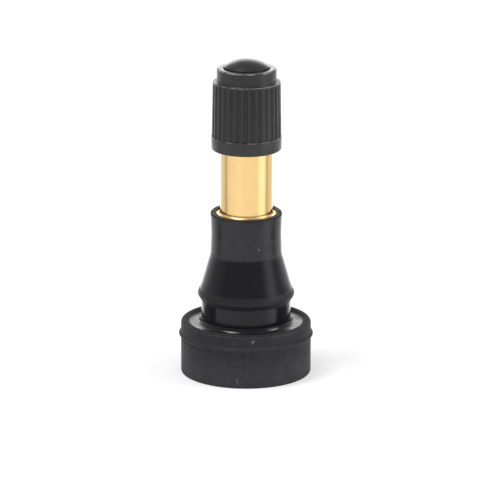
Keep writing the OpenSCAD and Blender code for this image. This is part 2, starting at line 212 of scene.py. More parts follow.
def spot(name, description, default):
    """A place that a user can set, in metres."""
    return FloatVectorProperty(
        name=name, description=description, default=default, subtype="TRANSLATION", precision=5
    )


def power(name, description, watts):
    """A lamp's power that a user can set, in watts."""
    return FloatProperty(name=name, description=description, default=watts, unit="POWER")


class RubberBodySettings(bpy.types.PropertyGroup):
    """Sizes and finish of the moulded rubber body"""

    base_d: length("Base Diameter", "Diameter of the button inside the wheel rim", 19.1)
    base_h: length("Base Height", "Height of the button to its sealing lip", 7.9)
    base_edge_r: length("Base Edge", "Radius of the button's lower edge", 0.3)
    ridge_z: length("Ridge Height", "Height of the moulding ridge's crest", 5.8)
    ridge_h: length("Ridge Width", "Height of the moulding ridge from foot to foot", 0.8)
    ridge_out: length("Ridge Depth", "How far the moulding ridge stands out", 0.34)
    ridge_edge_r: length("Ridge Edge", "Radius of the moulding ridge's crest", 0.12)
    lip_w: length("Lip Width", "Width of the sealing lip", 1.05)
    lip_edge_r: length("Lip Edge", "Radius of the sealing lip's edges", 0.5)
    dish_depth: length("Dish Depth", "Depth of the sealing face below the lip", 0.45)
    dish_slope_w: length("Dish Slope", "Width of the slope down to the sealing face", 0.3)
    air_hole_d: length("Air Hole", "Diameter of the air hole in the base", 3.2)
    air_sink: length("Air Hole Sink", "Width of the countersink at the air hole", 0.9)
    groove_d: length("Groove Diameter", "Diameter of the groove for the rim's hole", 13.1)
    groove_h: length("Groove Height", "Height of the groove above the sealing face", 3.45)
    groove_fillet: length("Groove Fillet", "Radius of the fillet at the groove's foot", 0.8)
    bulb_fillet: length("Bulb Fillet", "Radius of the fillet between the groove and the bulb", 0.15)
    bulb_d: length("Bulb Diameter", "Diameter of the snap-in bulb", 14.3)
    bulb_under_h: length("Bulb Underside", "Height of the bulb's sloping underside", 1.0)
    bulb_edge_r: length("Bulb Edge", "Radius of the bulb's crest", 0.6)
    shoulder_h: length("Shoulder Height", "Height of the bulb's shoulder", 1.8)
    cone_d: length("Cone Diameter", "Diameter at the cone's foot", 12.95)
    cone_h: length("Cone Height", "Height of the cone", 4.3)
    neck_d: length("Neck Diameter", "Diameter of the neck", 10.48)
    neck_waist: length("Neck Waist", "How far the neck draws in at its waist", 0.09)
    neck_waist_r: length("Waist Curve", "Radius of the curve at the neck's waist", 8.0)
    neck_foot_r: length("Neck Foot", "Radius of the curve from the cone into the neck", 3.5)
    neck_edge_r: length("Neck Edge", "Radius of the neck's top edge", 0.22)
    flash_h: length("Flash Height", "Height of the ragged flash on the neck's top edge", 0.2)
    dull_band_h: length("Dull Band", "Height of the dull band above the bulb's crest", 0.9)
    clean: colour("Clean Rubber", "Colour of the groove, the cone and the lips", (0.006, 0.0058, 0.0088))
    faded: colour("Faded Rubber", "Colour of the bulb", (0.0095, 0.0093, 0.0125))
    dusty: colour("Dusty Rubber", "Colour of the neck and the base", (0.0215, 0.0206, 0.0265))
    polished: share("Polished", "Roughness of the groove and the cone", 0.16)
    satin: share("Satin", "Roughness of the neck", 0.21)
    dull: share("Dull", "Roughness of the bulb", 0.5)
    matt: share("Matt", "Roughness of the base and the neck's top", 0.64)
    bare: share("Bare", "Roughness of the sealing lip's top", 0.8)
    # This colour also paints the light that the floor throws back onto the base's foot
    dust_and_foot_light: colour("Dust", "Colour of the dust and scuffs", (0.11, 0.108, 0.119))


class BrassStemSettings(bpy.types.PropertyGroup):
    """Sizes and finish of the turned brass stem"""

    stem_d: length("Stem Diameter", "Diameter of the barrel and its thread", 7.7)
    collar_d: length("Collar Diameter", "Diameter of the collar at the rubber's top", 8.8)
    collar_h: length("Collar Height", "Height of the collar in the rubber", 3.0)
    collar_drop: length("Collar Drop", "Depth of the collar's top below the rubber's lip", 0.06)
    collar_fillet: length("Collar Fillet", "Radius from the collar up to the barrel", 0.46)
    stem_chamfer: length("Mouth Chamfer", "Chamfer round the stem's mouth", 0.4)
    shank_d: length("Shank Diameter", "Diameter of the shank in the rubber", 7.0)
    key_count: IntProperty(name="Keying Rings", description="Rings on the shank", default=3, min=1)
    key_h: length("Ring Height", "Height of a keying ring", 1.2)
    key_out: length("Ring Depth", "How far a keying ring stands out", 0.4)
    foot_d: length("Foot Diameter", "Diameter of the foot flange", 9.4)
    foot_h: length("Foot Height", "Thickness of the foot flange", 1.4)
    passage_d: length("Passage", "Diameter of the air passage", 3.0)
    core_bore_d: length("Core Bore", "Diameter of the core thread's bore", 5.2)
    core_thread_len: length("Core Thread", "Depth of the core thread", 8.8)
    mouth_chamfer: length("Bore Chamfer", "Chamfer inside the mouth", 0.3)
    seat_d: length("Seat Diameter", "Diameter at the top of the conical seat", 4.9)
    seat_h: length("Seat Height", "Height of the conical seat", 3.2)
    chamber_d: length("Chamber", "Diameter of the chamber under the seat", 4.0)
    chamber_z: length("Chamber Floor", "Height of the chamber's floor", 23.28)
    thread_pitch: length("Thread Pitch", "Rise of the outer thread in one turn", 0.79375)
    thread_depth: length("Thread Depth", "Depth of the outer thread", 0.45)
    thread_flat: length("Thread Flat", "Width of the flat along a thread's crest", 0.1)
    thread_start: length("Thread Start", "Height of the thread's lower end above the cap's foot", 0.7)
    run_out: length("Run Out", "Length over which a thread fades out", 0.8)
    tint: colour("Brass", "Colour of the brass", (0.94, 0.66, 0.3))


class CapShellSettings(bpy.types.PropertyGroup):
    """Sizes and finish of the ribbed screw cap"""

    band_d: length("Band Diameter", "Diameter of the band round the cap's foot", 10.24)
    band_h: length("Band Height", "Height of the band", 2.05)
    band_edge_r: length("Band Edge", "Radius of the band's lower edge", 0.35)
    ledge_edge_r: length("Ledge Edge", "Radius of the band's upper edge", 0.12)
    rib_d: length("Rib Diameter", "Diameter over the ribs at the band", 10.12)
    rib_draft: length("Rib Draft", "How much narrower the ribs are at their top", 0.26)
    rib_count: IntProperty(name="Ribs", description="Number of ribs", default=30, min=8)
    rib_w: length("Rib Width", "Width of a rib", 0.34)
    rib_depth: length("Rib Depth", "Depth of the valleys between the ribs", 0.2)
    rib_wall: length("Rib Wall", "Width of the soft wall between a rib and a valley", 0.16)
    rib_turn: turning("Rib Turn", "Turn of the first rib from the front", 4.0)
    flute_land: length("Flute Land", "Smooth wall left above the valleys", 0.22)
    shoulder_edge_r: length("Shoulder Edge", "Radius of the edge over the ribs", 0.16)
    collar_d: length("Collar Diameter", "Diameter of the smooth collar", 8.7)
    collar_h: length("Collar Height", "Height of the smooth collar", 2.0)
    collar_edge_r: length("Collar Edge", "Radius of the collar's top edge", 0.3)
    collar_fillet: length("Collar Fillet", "Radius from the shoulder up to the collar", 0.1)
    opening_d: length("Opening", "Diameter of the opening in the cap's top", 6.8)
    opening_edge_r: length("Opening Edge", "Radius of the opening's top edge", 0.12)
    lip_t: length("Lip Thickness", "Thickness of the lip round the opening", 1.0)
    seal_seat_d: length("Seal Seat", "Diameter of the seat for the seal's flange", 7.6)
    clearance: length("Thread Clearance", "Gap between the cap's bore and the stem", 0.1)
    thread_depth: length("Thread Depth", "Depth of the inner thread", 0.46)
    entry: length("Entry", "Chamfer at the mouth of the cap's thread", 0.35)
    tint: colour("Plastic", "Colour of the cap's plastic", (0.0165, 0.0155, 0.016))
    # Painted shade: the valleys between the ribs are coloured darker than the ribs
    shaded_valley: colour("Valleys", "Colour of the plastic between the ribs", (0.006, 0.0057, 0.0058))
    band: colour("Band", "Colour of the band round the cap's foot", (0.025, 0.0238, 0.0242))
    # Painted highlight: pale colour of the strip along the cap's edges, broken into patches
    edge_highlight: colour("Wear", "Colour of the rubbed edges", (0.3, 0.292, 0.294))


class CapSealSettings(bpy.types.PropertyGroup):
    """Sizes and finish of the cap's domed seal"""

    flange_t: length("Flange", "Thickness of the seal's flange", 0.9)
    flange_gap: length("Flange Gap", "Gap round the flange in its seat", 0.05)
    dome_gap: length("Dome Gap", "Gap between the dome and the cap's opening", 0.07)
    dome_wall: length("Dome Wall", "Height of the straight wall above the cap's lip", 0.2)
    hollow_d: length("Hollow Diameter", "Diameter of the hollow under the seal", 5.2)
    hollow_h: length("Hollow Depth", "Depth of the hollow under the seal", 1.3)
    tint: colour("Seal", "Colour of the seal's rubber", (0.0125, 0.0122, 0.0125))
    satin: share("Satin", "Roughness of the seal", 0.22)


class ValveCoreSettings(bpy.types.PropertyGroup):
    """Spring and finishes of the valve core inside the stem"""

    wire_d: length("Spring Wire", "Diameter of the spring's wire", 0.3)
    spring_turns: IntProperty(
        name="Spring Turns", description="Turns of the spring, with one closed at each end", default=8, min=3
    )
    brass: colour("Core Brass", "Colour of the core's turned brass", (0.7, 0.46, 0.17))
    brass_satin: share("Core Satin", "Roughness of the core's turned brass", 0.22)
    washer: colour("Barrel Washer", "Colour of the barrel's sealing washer", (0.2, 0.035, 0.025))
    washer_matt: share("Barrel Washer Matt", "Roughness of the barrel's sealing washer", 0.45)
    cup_washer: colour("Cup Washer", "Colour of the cup's washer", (0.013, 0.013, 0.013))
    cup_washer_matt: share("Cup Washer Matt", "Roughness of the cup's washer", 0.4)
    steel: colour("Spring", "Colour of the spring's wire", (0.55, 0.56, 0.58))
    steel_satin: share("Spring Satin", "Roughness of the spring's wire", 0.2)


class StageSettings(bpy.types.PropertyGroup):
    """Camera, light and floor"""

    camera_at: spot("Camera", "Place of the camera", (-0.00091, -0.612, 0.1894))
    camera_tilt: turning("Camera Tilt", "Tilt of the camera up from straight down", 74.516)
    camera_roll: turning("Camera Roll", "Turn of the camera about its line of sight", 0.15)
    lens: FloatProperty(
        name="Lens", description="Focal length on a 36 mm sensor", default=325.5, unit="CAMERA"
    )
    key_at: spot("Key Lamp", "Place of the soft key lamp", (-0.335, -0.153, 0.766))
    key_size: length("Key Size", "Side of the key lamp", 320.0)
    key_power: power("Key Power", "Power of the key lamp", 3.6)
    side_at: spot("Side Lamp", "Place of the weaker lamp at the right", (0.68, -0.08, 0.5))
    side_size: length("Side Lamp Size", "Side of the weaker lamp", 300.0)
    side_power: power("Side Lamp Power", "Power of the weaker lamp", 2.4)
    fill: share("Fill", "Brightness of the room's even light", 0.82)
    floor_size: length("Floor Size", "Side of the floor", 6000.0)
    floor_plain: share("Plain Floor", "Shade of the floor in the light that it throws back", 0.8)
    floor_seen: share("Seen Floor", "Shade of the floor where it is seen", 0.54)
    floor_glow: share("Floor Glow", "Brightness that the floor has of its own where it is seen", 0.38)
    card_near: length("Card Near Edge", "Distance of the dark cards from the axis", 24.0)
    card_far: length("Card Far Edge", "Distance of the dark cards' far edges from the axis", 84.0)
    card_front: length("Card Front", "How far the dark cards reach to the front", 8.0)
    card_back: length("Card Back", "How far the dark cards reach to the back", 22.0)
    card_shade: share("Card Shade", "Brightness of the dark cards", 0.08)
    # The disc of painted shade round the base, seen only in reflections
    contact_r: length("Contact Shade", "Reach of the dark floor close round the base", 10.9)


SETTINGS = {
    "tyre_valve_rubber": RubberBodySettings,
    "tyre_valve_stem": BrassStemSettings,
    "tyre_valve_cap": CapShellSettings,
    "tyre_valve_seal": CapSealSettings,
    "tyre_valve_core": ValveCoreSettings,
    "tyre_valve_stage": StageSettings,
}


def corner_reach(before, at, after):
    """How far a rounded corner of an outline takes from each of its two edges."""
    if not at[2]:
        return 0.0
    corner = Vector(at[:2])
    back = Vector(before[:2]) - corner
    ahead = Vector(after[:2]) - corner
    reach = at[2] / math.tan(back.angle(ahead) / 2)
    return min(reach, CORNER_SHARE * back.length, CORNER_SHARE * ahead.length)


def draw_outline(bm, points, closed):
    """Draws a wire of (radius, height, rounding) points in the XZ plane, with its corners rounded."""
    count = len(points)
    reaches = [corner_reach(points[i - 1], points[i], points[(i + 1) % count]) for i in range(count)]
    corners = [bm.verts.new((radius, 0.0, height)) for radius, height, rounding in points]
    for here, after in zip(corners, corners[1:]):
        bm.edges.new((here, after))
    if closed:
        bm.edges.new((corners[-1], corners[0]))
    for corner, reach in zip(corners, reaches):
        if reach:
            bmesh.ops.bevel(
                bm, geom=[corner], offset=reach, offset_type="OFFSET", segments=CORNER_STEPS,
                profile=0.5, affect="VERTICES", material=-1,
            )


def turn(bm, points, steps, closed=True):
    """Spins an outline of (radius, height, rounding) points once about the stem's axis."""
    before = set(bm.verts)
    draw_outline(bm, points, closed)
    wire = [vertex for vertex in bm.verts if vertex not in before]
    edges = [edge for edge in bm.edges if edge.verts[0] not in before]
    bmesh.ops.spin(
        bm, geom=wire + edges, cent=(0.0, 0.0, 0.0), axis=(0.0, 0.0, 1.0), angle=2 * math.pi,
        steps=steps, use_merge=True, use_duplicate=False,
    )


def flank_height(depth):
    """Height of a thread's sloping side from its crest to a depth."""
    return depth * math.tan(THREAD_HALF_ANGLE)


def cut_thread(bm, plain_r, cut_r, pitch, flat, low, high, run_out, datum):
    """Spins a right-handed thread into an empty bmesh, fading into the plain radius at both ends.

    The flat at the plain radius is centred on the datum height where the thread crosses +X.
    """
    flank = flank_height(abs(cut_r - plain_r))
    start = datum - math.ceil((datum - low) / pitch + 1.0) * pitch - flat / 2
    turns = math.ceil((high - start) / pitch) + 1
    profile = [
        (plain_r, start),
        (plain_r, start + flat),
        (cut_r, start + flat + flank),
        (cut_r, start + pitch - flank),
        (plain_r, start + pitch),
    ]
    points = [bm.verts.new((radius, 0.0, height)) for radius, height in profile]
    edges = [bm.edges.new(pair) for pair in zip(points, points[1:])]
    bmesh.ops.spin(
        bm, geom=points + edges, cent=(0.0, 0.0, 0.0), axis=(0.0, 0.0, 1.0),
        angle=2 * math.pi * turns, steps=turns * THREAD_STEPS,
        dvec=(0.0, 0.0, pitch / THREAD_STEPS), use_duplicate=False,
    )
    bmesh.ops.remove_doubles(bm, verts=bm.verts, dist=THREAD_WELD)
    for vertex in bm.verts:
        inside = min(vertex.co.z - low, high - vertex.co.z) / run_out
        radius = vertex.co.xy.length
        faded = plain_r + (radius - plain_r) * min(max(inside, 0.0), 1.0)
        vertex.co.xy *= faded / radius
    for height, away in ((low, -1.0), (high, 1.0)):
        bmesh.ops.bisect_plane(
            bm, geom=bm.verts[:] + bm.edges[:] + bm.faces[:], dist=WELD,
            plane_co=(0.0, 0.0, height), plane_no=(0.0, 0.0, away), clear_outer=True,
        )


def rim_at(bm, height):
    """The open rim of a skin at a height."""
    return [
        edge for edge in bm.edges
        if edge.is_boundary and all(abs(vertex.co.z - height) < WELD for vertex in edge.verts)
    ]


def bridge(bm, height, other_height):
    """Closes the gap between the open rims at two heights."""
    bmesh.ops.bridge_loops(bm, edges=rim_at(bm, height) + rim_at(bm, other_height))


def make_piece(bm, name, material, body, node, sharp_angle=SHARP_ANGLE):
    """Turns a closed bmesh into a piece that rides on its body in place of a CAD node."""
    bmesh.ops.remove_doubles(bm, verts=bm.verts, dist=WELD)
    bmesh.ops.recalc_face_normals(bm, faces=bm.faces)
    open_edges = [edge for edge in bm.edges if not edge.is_manifold]
    if open_edges:
        raise RuntimeError(f"{name} has {len(open_edges)} open edges")
    for face in bm.faces:
        face.smooth = True
    mesh = bpy.data.meshes.new(name)
    bm.to_mesh(mesh)
    bm.free()
    mesh.set_sharp_from_angle(angle=sharp_angle)
    mesh.materials.append(material)
    piece = bpy.data.objects.new(name, mesh)
    piece.modifiers.new("true_walls", "WEIGHTED_NORMAL").keep_sharp = True
    bpy.context.scene.collection.objects.link(piece)
    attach(piece, body)
    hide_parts(node)
    return piece


def opaque(tint):
    """A colour with its alpha."""
    return (*tint, 1.0)


def grey(value):
    """A value as a grey colour."""
    return (value, value, value, 1.0)


def toned(tint, tone):
    """A colour made darker or paler, with its alpha."""
    return opaque([part * tone for part in tint])


def set_inputs(tree, node, inputs):
    """Sets a node's inputs to values, or links them to the outputs of other nodes."""
    for socket, value in inputs.items():
        if isinstance(value, bpy.types.NodeSocket):
            tree.links.new(value, node.inputs[socket])
        else:
            node.inputs[socket].default_value = value


def add_node(tree, kind, inputs=None, **settings):
    """Adds a node, sets its options, and sets or links its inputs."""
    node = tree.nodes.new(kind)
    for option, value in settings.items():
        setattr(node, option, value)
    set_inputs(tree, node, inputs or {})
    return node


def new_finish(name):
    """A new material, with its node tree, its shader and the piece's own coordinates."""
    material = bpy.data.materials.new(name)
    material.use_nodes = True
    tree = material.node_tree
    place = add_node(tree, "ShaderNodeTexCoord").outputs["Object"]
    return material, tree, tree.nodes["Principled BSDF"], place


def height_and_radius(tree, place):
    """The height of a place, and its distance from the stem's axis."""
    axes = add_node(tree, "ShaderNodeSeparateXYZ", {"Vector": place}).outputs
    flat = add_node(tree, "ShaderNodeCombineXYZ", {"X": axes["X"], "Y": axes["Y"]}).outputs["Vector"]
    radius = add_node(tree, "ShaderNodeVectorMath", {0: flat}, operation="LENGTH").outputs["Value"]
    return axes["Z"], radius


def grain(tree, place, scale, detail=NOISE_DETAIL):
    """Noise from 0 to 1 at a number of features to the metre."""
    pattern = add_node(
        tree, "ShaderNodeTexNoise", {"Vector": place, "Scale": scale, "Detail": detail}
    )
    return pattern.outputs["Fac"]


def between(tree, value, low, high, to_low=0.0, to_high=1.0):
    """Maps a value from one range to another, with smooth ends."""
    mapped = add_node(
        tree, "ShaderNodeMapRange",
        {"Value": value, "From Min": low, "From Max": high, "To Min": to_low, "To Max": to_high},
        interpolation_type="SMOOTHSTEP",
    )
    return mapped.outputs["Result"]


def spread(tree, pattern, low, high):
    """Noise spread from a low value to a high one."""
    return between(tree, pattern, *NOISE_RANGE, low, high)


def past(tree, value, edge):
    """A mask for where a value is past an edge between two finishes."""
    return between(tree, value, edge - ZONE_SOFT, edge + ZONE_SOFT)


def combine(tree, operation, first, second):
    """One value from two, by a named operation."""
    return add_node(tree, "ShaderNodeMath", {0: first, 1: second}, operation=operation).outputs["Value"]


def blend_colours(tree, factor, first, second):
    """A colour between two, by a factor."""
    return add_node(
        tree, "ShaderNodeMixRGB", {"Fac": factor, "Color1": first, "Color2": second}
    ).outputs["Color"]


def rough_bump(tree, height, strength, distance, under=None):
    """The normal of a surface roughened with a height pattern, over another such normal if there is one."""
    inputs = {"Height": height, "Strength": strength, "Distance": distance}
    if under is not None:
        inputs["Normal"] = under
    return add_node(tree, "ShaderNodeBump", inputs).outputs["Normal"]


def scuff(tree, place, ragged, at, size):
    """A mask for one small ragged pale mark at a place on the surface."""
    gap = add_node(tree, "ShaderNodeVectorMath", {0: place, 1: at}, operation="DISTANCE")
    jagged = spread(tree, ragged, -SCUFF_FRAY * size, SCUFF_FRAY * size)
    frayed = combine(tree, "ADD", gap.outputs["Value"], jagged)
    return between(tree, frayed, size, SCUFF_HEART * size)


def edge_at(tree, height, radius, edge_z, edge_r):
    """A mask for the upper edge at a height, outside a radius."""
    near = between(tree, height, edge_z - EDGE_STRIP, edge_z)
    return combine(tree, "MULTIPLY", near, between(tree, radius, edge_r, edge_r + EDGE_STRIP / 2))


def rubber_levels(rubber):
    """Heights of the sealing face, the bulb's foot and crest, the cone's foot and the neck's foot."""
    dish_z = rubber.base_h - rubber.dish_depth
    bulb_z = dish_z + rubber.groove_h
    crest_z = bulb_z + rubber.bulb_under_h
    cone_z = crest_z + rubber.shoulder_h
    return dish_z, bulb_z, crest_z, cone_z, cone_z + rubber.cone_h


def rubber_zones(tree, rubber, level, radius):
    """The body's zones, each a mask with its roughness and colour: a later one covers an earlier one."""
    dish_z, bulb_z, crest_z, _, neck_z = rubber_levels(rubber)
    wide = past(tree, radius, rubber.base_d / 2 - rubber.lip_w - rubber.dish_slope_w / 2)
    low = between(tree, level, dish_z - ZONE_SOFT, dish_z - 3 * ZONE_SOFT)
    lip = between(tree, level, LIP_Z - 2 * ZONE_SOFT, LIP_Z - ZONE_SOFT)
    crown = between(tree, level, rubber.base_h - ZONE_SOFT, rubber.base_h - ZONE_SOFT / 3)
    return (
        (past(tree, level, bulb_z), rubber.dull, rubber.faded),
        (past(tree, level, crest_z + rubber.dull_band_h), rubber.polished, rubber.clean),
        (past(tree, level, neck_z), rubber.satin, rubber.dusty),
        (lip, rubber.matt, rubber.clean),
        (combine(tree, "MAXIMUM", wide, low), rubber.matt, rubber.dusty),
        (combine(tree, "MULTIPLY", wide, crown), rubber.bare, rubber.clean),
    )


def moulded_rubber(rubber):
    """Black rubber: polished groove and cone, satin neck, dusty base with painted light at its foot, smudges
    and scuffs.
    """
    material, tree, shader, place = new_finish("moulded_rubber")
    height, radius = height_and_radius(tree, place)
    smudge = grain(tree, place, SMUDGES)
    mottle = grain(tree, place, MOTTLE)
    ragged = grain(tree, place, RUBBER_GRAIN)
    level = combine(tree, "ADD", height, spread(tree, mottle, -ZONE_WOBBLE, ZONE_WOBBLE))
    gloss = grey(rubber.polished)
    skin = opaque(rubber.clean)
    for zone, roughness, tint in rubber_zones(tree, rubber, level, radius):
        gloss = blend_colours(tree, zone, gloss, grey(roughness))
        skin = blend_colours(tree, zone, skin, opaque(tint))
    dish_z = rubber_levels(rubber)[0]
    dish = between(tree, height, dish_z + ZONE_SOFT, dish_z + ZONE_SOFT / 3)
    misted = combine(tree, "MULTIPLY", dish, between(tree, mottle, *MIST_RANGE, *MIST_ROUGHNESS))
    cloudy = combine(tree, "ADD", spread(tree, smudge, *UNEVEN_ROUGHNESS), misted)
    clouds = between(tree, smudge, *CLOUD_RANGE, 0.0, CLOUD_SHARE)
    worn_and_highlit = combine(tree, "ADD", clouds, spread(tree, mottle, 0.0, MOTTLE_SHARE))
    rubbed_and_lit = blend_colours(tree, worn_and_highlit, skin, opaque(rubber.clean))
    # Painted light: the base grows paler towards its foot, in the dust colour, for the light that the floor
    # throws back onto it
    foot_light = between(tree, height, rubber.ridge_z, rubber.base_edge_r, 0.0, FOOT_LIGHT_SHARE)
    rubbed_and_lit = blend_colours(tree, foot_light, rubbed_and_lit, opaque(rubber.dust_and_foot_light))
    specks = grain(tree, place, SPECKS, PLAIN_DETAIL)
    marks = between(tree, specks, *SPECK_RANGE, 0.0, SPECK_SHARE)
    for at, size in SCUFFS:
        marks = combine(tree, "MAXIMUM", marks, scuff(tree, place, ragged, at, size))
    dents = rough_bump(tree, combine(tree, "MULTIPLY", mottle, dish), strength=0.08, distance=0.1 * MM)
    set_inputs(tree, shader, {
        "Base Color": blend_colours(tree, marks, rubbed_and_lit, opaque(rubber.dust_and_foot_light)),
        "Roughness": combine(tree, "ADD", gloss, cloudy),
        "IOR": 1.38,
        "Sheen Weight": 0.08,
        "Sheen Roughness": 0.4,
        "Normal": rough_bump(tree, ragged, strength=0.12, distance=0.04 * MM, under=dents),
    })
    return material


def turned_brass(stem):
    """Bright brass with fine turning lines round it and a faint uneven tarnish."""
    material, tree, shader, place = new_finish("turned_brass")
    height = add_node(tree, "ShaderNodeSeparateXYZ", {"Vector": place}).outputs["Z"]
    across = add_node(tree, "ShaderNodeCombineXYZ", {"Z": height}).outputs["Vector"]
    lines = grain(tree, across, TURNING_LINES, LINE_DETAIL)
    tarnish = grain(tree, place, TARNISH)
    warm = [part * tone for part, tone in zip(stem.tint, TARNISH_TONES)]
    satin = spread(tree, tarnish, *BRASS_ROUGHNESS)
    foot = between(tree, height, LIP_Z + stem.collar_fillet, LIP_Z, 0.0, BRASS_FOOT_ROUGHNESS)
    set_inputs(tree, shader, {
        "Base Color": blend_colours(tree, tarnish, opaque(stem.tint), opaque(warm)),
        "Metallic": 1.0,
        "Roughness": combine(tree, "ADD", satin, foot),
        "Normal": rough_bump(tree, lines, strength=0.05, distance=0.01 * MM),
    })
    return material


def satin_plastic(cap):
    """Charcoal plastic with a satin skin, painted shade in its valleys and a painted highlight along its
    edges, broken into patches.
    """
    material, tree, shader, place = new_finish("satin_plastic")
    height, radius = height_and_radius(tree, place)
    rib_r = (cap.rib_d - cap.rib_draft) / 2
    band_top_z = CAP_Z + cap.band_h
    shoulder_z = CAP_TOP_Z - cap.collar_h
    ring_z = CAP_TOP_Z - cap.collar_edge_r / 3
    # Painted highlight: a pale strip along the band's ledge, the collar's top edge and the shoulder over the
    # ribs, broken into patches
    ledge = edge_at(tree, height, radius, band_top_z, cap.rib_d / 2)
    ring = edge_at(tree, height, radius, ring_z, (cap.collar_d - cap.collar_edge_r) / 2)
    brow = edge_at(tree, height, radius, shoulder_z, rib_r - EDGE_STRIP)
    brow = combine(tree, "MULTIPLY", brow, between(tree, radius, rib_r + EDGE_STRIP, rib_r))
    edges = combine(tree, "MAXIMUM", combine(tree, "MAXIMUM", ledge, ring), brow)
    highlight_breaks = between(tree, grain(tree, place, HIGHLIGHT_BREAKS), *HIGHLIGHT_BREAK_RANGE)
    worn_and_highlit = combine(tree, "MULTIPLY", edges, highlight_breaks)
    # Painted shade: the valleys are coloured darker than the rib crests and the smooth collar
    crest = between(tree, radius, rib_r - cap.rib_depth, rib_r)
    smooth = combine(tree, "MAXIMUM", crest, between(tree, height, shoulder_z - EDGE_STRIP, shoulder_z))
    skin = blend_colours(tree, smooth, opaque(cap.shaded_valley), opaque(cap.tint))
    foot = between(tree, height, band_top_z, band_top_z - EDGE_STRIP)
    skin = blend_colours(tree, foot, skin, opaque(cap.band))
    patches = grain(tree, place, PATCHES)
    # Random patches in the same dark colour as the painted valley shade
    uneven = blend_colours(tree, spread(tree, patches, 0.0, PATCH_SHARE), skin, opaque(cap.shaded_valley))
    satin = spread(tree, patches, *PLASTIC_ROUGHNESS)
    gloss = between(tree, height, CAP_TOP_Z - EDGE_STRIP / 2, CAP_TOP_Z, 0.0, RING_GLOSS)
    fine = grain(tree, place, PLASTIC_GRAIN, PLAIN_DETAIL)
    set_inputs(tree, shader, {
        "Base Color": blend_colours(tree, worn_and_highlit, uneven, opaque(cap.edge_highlight)),
        "Roughness": combine(tree, "SUBTRACT", satin, gloss),
        "IOR": 1.46,
        "Sheen Weight": 0.13,
        "Sheen Roughness": 0.4,
        "Normal": rough_bump(tree, fine, strength=0.1, distance=0.03 * MM),
    })
    return material


def soft_rubber(name, tint, roughness):
    """Smooth sealing rubber with faint uneven bloom."""
    material, tree, shader, place = new_finish(name)
    bloom = grain(tree, place, BLOOM)
    dark, pale = [toned(tint, tone) for tone in BLOOM_TONES]
    fine = grain(tree, place, SEAL_GRAIN, PLAIN_DETAIL)
    set_inputs(tree, shader, {
        "Base Color": blend_colours(tree, bloom, dark, pale),
        "Roughness": spread(tree, bloom, *[roughness + change for change in BLOOM_ROUGHNESS]),
        "Normal": rough_bump(tree, fine, strength=0.08, distance=0.03 * MM),
    })
    return material


def core_metal(name, tint, roughness):
    """Turned or drawn metal for the core's small pieces."""
    material, tree, shader, place = new_finish(name)
    stain = grain(tree, place, STAINS)
    fine = grain(tree, place, CORE_GRAIN)
    set_inputs(tree, shader, {
        "Base Color": blend_colours(tree, stain, opaque(tint), toned(tint, STAIN_TONE)),
        "Metallic": 1.0,
        "Roughness": spread(tree, stain, roughness, roughness + STAIN_ROUGHNESS),
        "Normal": rough_bump(tree, fine, strength=0.06, distance=0.01 * MM),
    })
    return material


def stem_skin(stem):
    """The stem's outside where rubber is bonded to it, from the foot up to the collar's top."""
    shank_r = stem.shank_d / 2
    foot_r = stem.foot_d / 2
    collar_r = stem.collar_d / 2
    collar_top_z = LIP_Z - stem.collar_drop
    collar_z = collar_top_z - stem.collar_h
    shank_z = FOOT_Z + stem.foot_h + foot_r - shank_r
    shank_top_z = collar_z - collar_r + shank_r
    pitch = (shank_top_z - shank_z) / stem.key_count
    skin = [(foot_r, FOOT_Z, 0.0), (foot_r, FOOT_Z + stem.foot_h, 0.0), (shank_r, shank_z, 0.0)]
    for ring in range(stem.key_count):
        low = shank_z + (ring + 0.5) * pitch - stem.key_h / 2
        out_r = shank_r + stem.key_out
        skin += [
            (shank_r, low, 0.0),
            (out_r, low + stem.key_out / 2, 0.0),
            (out_r, low + stem.key_h - stem.key_out / 2, 0.0),
            (shank_r, low + stem.key_h, 0.0),
        ]
    return skin + [(shank_r, shank_top_z, 0.0), (collar_r, collar_z, 0.0), (collar_r, collar_top_z, 0.0)]


